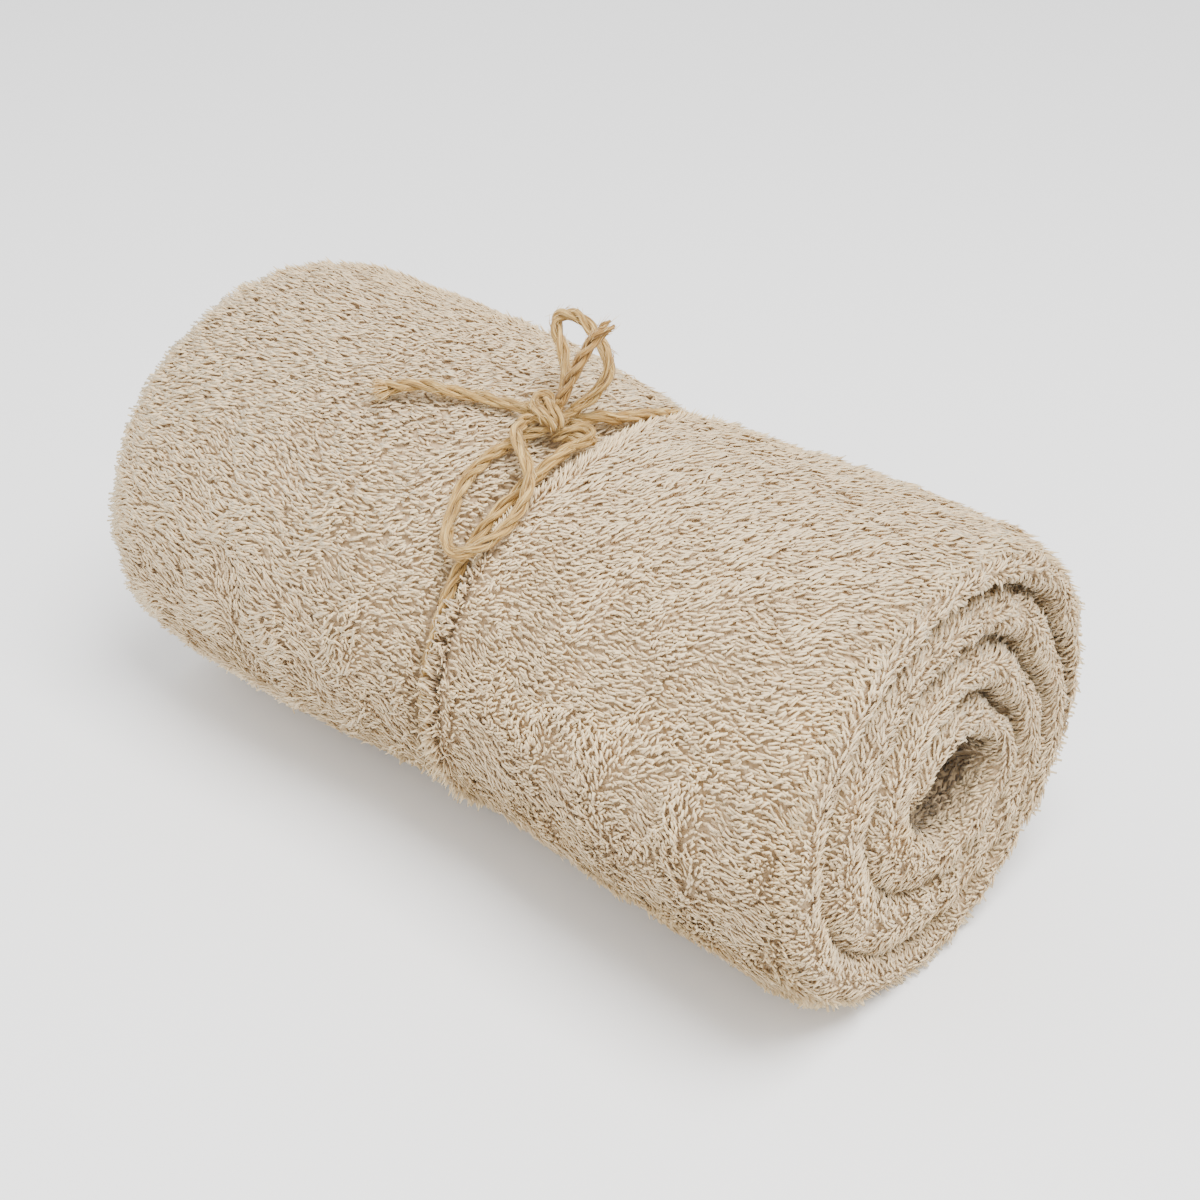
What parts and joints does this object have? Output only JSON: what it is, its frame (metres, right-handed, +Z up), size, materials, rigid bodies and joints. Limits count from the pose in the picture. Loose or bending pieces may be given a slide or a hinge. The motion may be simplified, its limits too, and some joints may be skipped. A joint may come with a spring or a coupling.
{
  "type": "rolled bath towel",
  "caption": "Terry bath towel folded in half lengthwise, rolled up and tied round the middle with a bow of jute twine.",
  "frame": {"origin": "on the surface that the roll rests on, under the middle of the roll", "axes": "+X along the roll towards its end with the folded ridges, +Z up, -Y the front, where the bow's lower loop lies"},
  "size_m": [0.3548, 0.1905, 0.2153],
  "materials": {
    "terry_cotton": "looped cotton pile, matte",
    "jute_twine": "twisted, hairy, matte"
  },
  "bodies": {
    "root": {"towel_roll": "terry_cotton", "twine_wrap": "jute_twine", "twine_knot": "jute_twine", "twine_hitch": "jute_twine", "bow_loop_lower": "jute_twine", "bow_loop_upper": "jute_twine", "twine_end_left": "jute_twine", "twine_end_upper": "jute_twine"}
  },
  "joints": []
}
